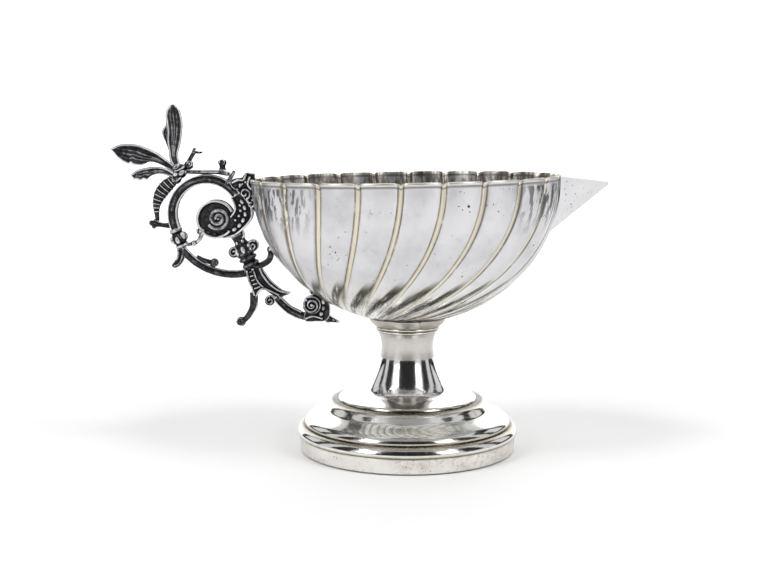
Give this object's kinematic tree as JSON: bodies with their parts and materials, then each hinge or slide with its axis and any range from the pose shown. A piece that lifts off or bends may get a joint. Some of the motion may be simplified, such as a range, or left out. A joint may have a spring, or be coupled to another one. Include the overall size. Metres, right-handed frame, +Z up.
{
  "type": "sauce boat",
  "caption": "Oval swirl-fluted silver sauce boat with a pointed spout, a round moulded foot and a dark cast scroll handle topped by a winged insect.",
  "frame": {"origin": "on the table under the middle of the foot", "axes": "+X along the bowl towards the spout, +Y across the bowl, +Z up"},
  "size_m": [0.2192, 0.113, 0.1544],
  "materials": {
    "satin_silver": "old hand-polished silver, satin and lightly pitted, warm in the grooves",
    "polished_silver": "bright polished silver, spun, with fine wear",
    "brass_fixing": "plain turned brass, out of sight under the bowl",
    "oxidised_silver": "cast silver, blackened in the hollows and worn bright on the high edges"
  },
  "bodies": {
    "root": {"bowl": "satin_silver", "spout": "satin_silver", "seat_collar": "satin_silver", "foot_band": "satin_silver", "foot_dome": "polished_silver", "stem": "polished_silver", "bead_ring": "polished_silver", "bowl_stud": "brass_fixing", "stud_washer": "brass_fixing", "stud_nut": "brass_fixing", "rim_bracket": "oxidised_silver", "handle_ring": "oxidised_silver", "clasp_band": "oxidised_silver", "thumb_rest": "oxidised_silver", "thumb_knob": "oxidised_silver", "scroll_branch": "oxidised_silver", "volute_spirals": "oxidised_silver", "blossom_twig": "oxidised_silver", "collar_knop": "oxidised_silver", "collar_leaf": "oxidised_silver", "lower_arc": "oxidised_silver", "arc_bud": "oxidised_silver", "urn": "oxidised_silver", "urn_scrolls": "oxidised_silver", "urn_bands": "oxidised_silver", "side_hook": "oxidised_silver", "ball_leg": "oxidised_silver", "leaf_branch": "oxidised_silver", "small_volute": "oxidised_silver", "tail_branch": "oxidised_silver", "rosette": "oxidised_silver", "pointed_tip": "oxidised_silver", "insect_thorax": "oxidised_silver", "insect_head": "oxidised_silver", "insect_antennae": "oxidised_silver", "insect_abdomen": "oxidised_silver", "tail_sprig": "oxidised_silver", "near_fore_wing": "oxidised_silver", "near_hind_wing": "oxidised_silver", "far_fore_wing": "oxidised_silver", "far_hind_wing": "oxidised_silver"}
  },
  "joints": []
}
